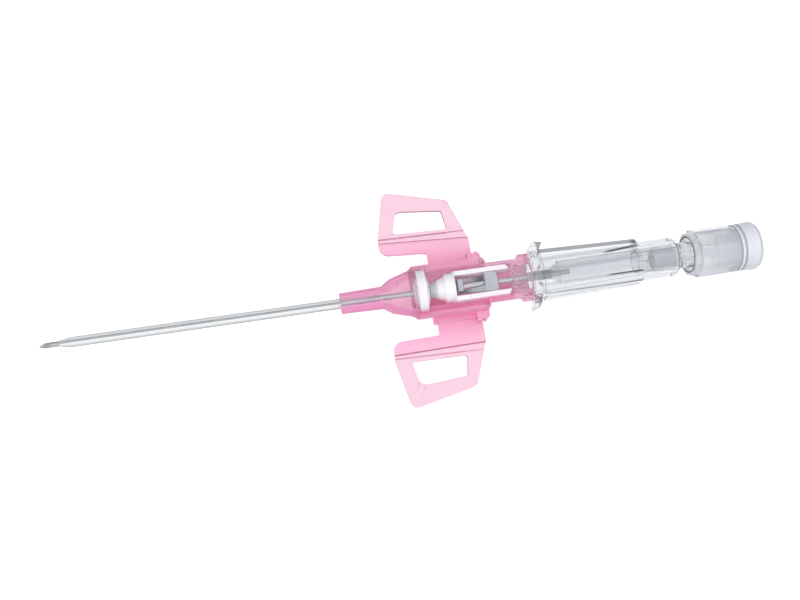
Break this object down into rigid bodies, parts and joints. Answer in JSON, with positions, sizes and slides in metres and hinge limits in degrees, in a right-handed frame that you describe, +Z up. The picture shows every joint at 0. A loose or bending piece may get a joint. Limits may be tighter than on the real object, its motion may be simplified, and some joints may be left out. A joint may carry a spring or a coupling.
{
  "type": "iv cannula",
  "caption": "Winged safety intravenous catheter over its needle, with a pink hub, a valve and steel tip shield inside it, a clear flash-chamber hub and a vented rear plug.",
  "frame": {"origin": "middle of the flat underside of the platform under the hub; the part rests there on a level surface", "axes": "+X along the needle from its point to the vent cap, +Y towards the left wing, +Z up through the hub"},
  "size_m": [0.1163, 0.036, 0.0089],
  "materials": {
    "pink": "clear moulded plastic, tinted pink",
    "pale_pink": "thin clear plastic, tinted pink",
    "clear": "clear moulded plastic",
    "tube": "translucent tube",
    "white_soft": "soft, white",
    "white": "satin, white",
    "steel": "bright",
    "bond": "cured adhesive",
    "filter": "porous, grey",
    "frosted": "lightly frosted plastic"
  },
  "bodies": {
    "hub": {"hub_body": "pink", "hub_nose": "pink", "septum": "white_soft", "catheter_tube": "tube", "wing_fold_left": "pale_pink", "wing_fold_right": "pale_pink"},
    "left_wing": {"wing_left": "pale_pink"},
    "right_wing": {"wing_right": "pale_pink"},
    "opener": {"valve_opener": "white"},
    "clip": {"safety_clip": "steel"},
    "needle": {"needle": "steel", "needle_bond": "bond", "needle_hub": "clear"},
    "plug": {"plug_body": "clear", "vent_filter": "filter", "vent_cap": "frosted"}
  },
  "joints": [
    {"name": "left_wing_fold", "type": "hinge", "parent": "hub", "child": "left_wing", "pos_m": [-0.00428, 0.00962, 0.00233], "axis": [0.9949, -0.0101, -0.1002], "range_deg": [-10, 85], "stiffness_Nm_per_rad": 0.0003, "deforming": ["wing_fold_left"]},
    {"name": "right_wing_fold", "type": "hinge", "parent": "hub", "child": "right_wing", "pos_m": [-0.00428, -0.00962, 0.00233], "axis": [-0.9949, -0.0101, 0.1002], "range_deg": [-10, 85], "stiffness_Nm_per_rad": 0.0003, "deforming": ["wing_fold_right"]},
    {"name": "opener_push", "type": "slide", "parent": "hub", "child": "opener", "axis": [-1, 0, 0], "range_m": [0, 0.003], "stiffness_N_per_m": 400, "deforming": ["septum"]},
    {"name": "clip_release", "type": "slide", "parent": "hub", "child": "clip", "axis": [1, 0, 0], "range_m": [0, 0.025]},
    {"name": "needle_withdrawal", "type": "slide", "parent": "clip", "child": "needle", "axis": [1, 0, 0], "range_m": [0, 0.0679]},
    {"name": "plug_pull", "type": "slide", "parent": "needle", "child": "plug", "axis": [1, 0, 0], "range_m": [0, 0.02]}
  ]
}
